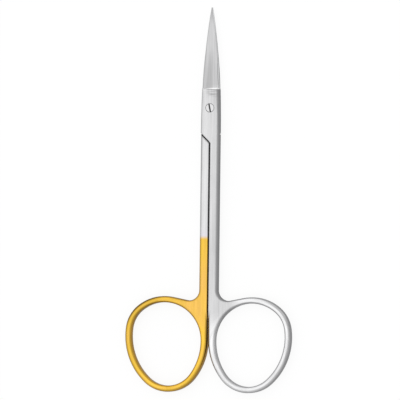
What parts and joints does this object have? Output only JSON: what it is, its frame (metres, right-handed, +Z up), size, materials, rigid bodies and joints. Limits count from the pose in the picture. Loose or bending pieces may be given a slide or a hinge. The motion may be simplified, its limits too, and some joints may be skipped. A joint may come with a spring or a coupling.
{
  "type": "surgical scissors",
  "caption": "Fine straight surgical scissors with slender pointed blades, a lapped joint held by a slotted screw, long shanks and oval finger rings, partly gold plated.",
  "frame": {"origin": "on the pivot screw's axis, in the plane that the scissors rest on", "axes": "+Y along the closed scissors towards the tips, +Z up along the pivot screw towards its slotted head, +X towards the plain steel finger ring"},
  "size_m": [0.0514, 0.115, 0.003],
  "materials": {
    "satin_steel": "satin, fine lengthwise brushing",
    "gold_plated_steel": "satin steel, with the finger ring and the shank above it gold plated",
    "screw_steel": "bright turned face"
  },
  "bodies": {
    "gold_half": {"gold_ring_half": "gold_plated_steel", "pivot_screw": "screw_steel"},
    "steel_half": {"steel_ring_half": "satin_steel"}
  },
  "joints": [
    {"name": "blade_pivot", "type": "hinge", "parent": "gold_half", "child": "steel_half", "pos_m": [0, 0, 0.0015], "axis": [0, 0, 1], "range_deg": [0, 135]}
  ]
}
